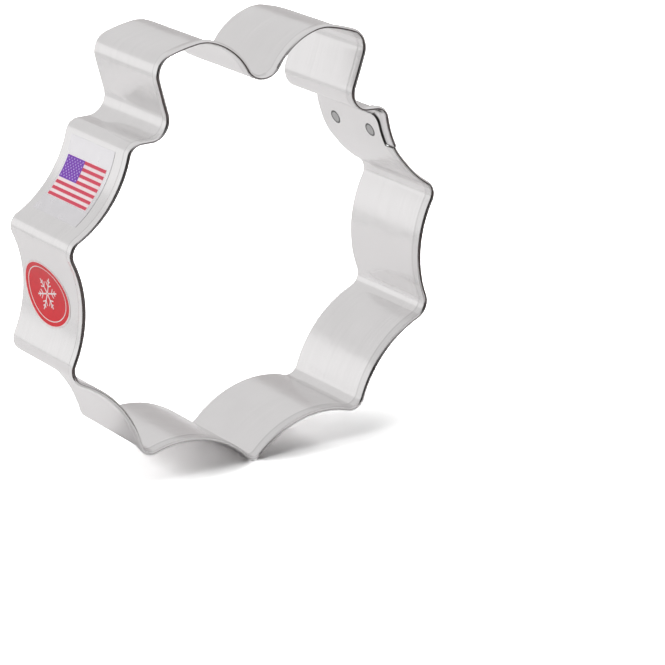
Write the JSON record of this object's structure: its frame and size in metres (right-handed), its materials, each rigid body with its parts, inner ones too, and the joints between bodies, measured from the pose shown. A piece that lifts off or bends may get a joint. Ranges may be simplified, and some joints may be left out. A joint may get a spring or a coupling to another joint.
{
  "type": "wreath cookie cutter",
  "caption": "Tinned steel cookie cutter bent to a wreath with a bow, with a hemmed grip rim, a plain cutting edge, and a lapped, spot welded seam at one shoulder.",
  "frame": {"origin": "middle of the base, straight below the bottom tip, on the surface that the cutter stands on with its bow up", "axes": "+Z from the bottom tip towards the bow; +Y through the ring from the hemmed rim to the cutting edge; +X to the right, seen from the hemmed side"},
  "size_m": [0.094, 0.0254, 0.0956],
  "materials": {
    "tinned_steel": "bright rolled tinplate, lightly streaked along the strip",
    "weld_spot": "dull grey electrode mark",
    "flag_label_film": "pale printed film",
    "oval_label_film": "red printed film"
  },
  "bodies": {
    "root": {"cutter_band": "tinned_steel", "spot_weld_edge_side": "weld_spot", "spot_weld_rim_side": "weld_spot", "flag_label": "flag_label_film", "oval_label": "oval_label_film"}
  },
  "joints": []
}
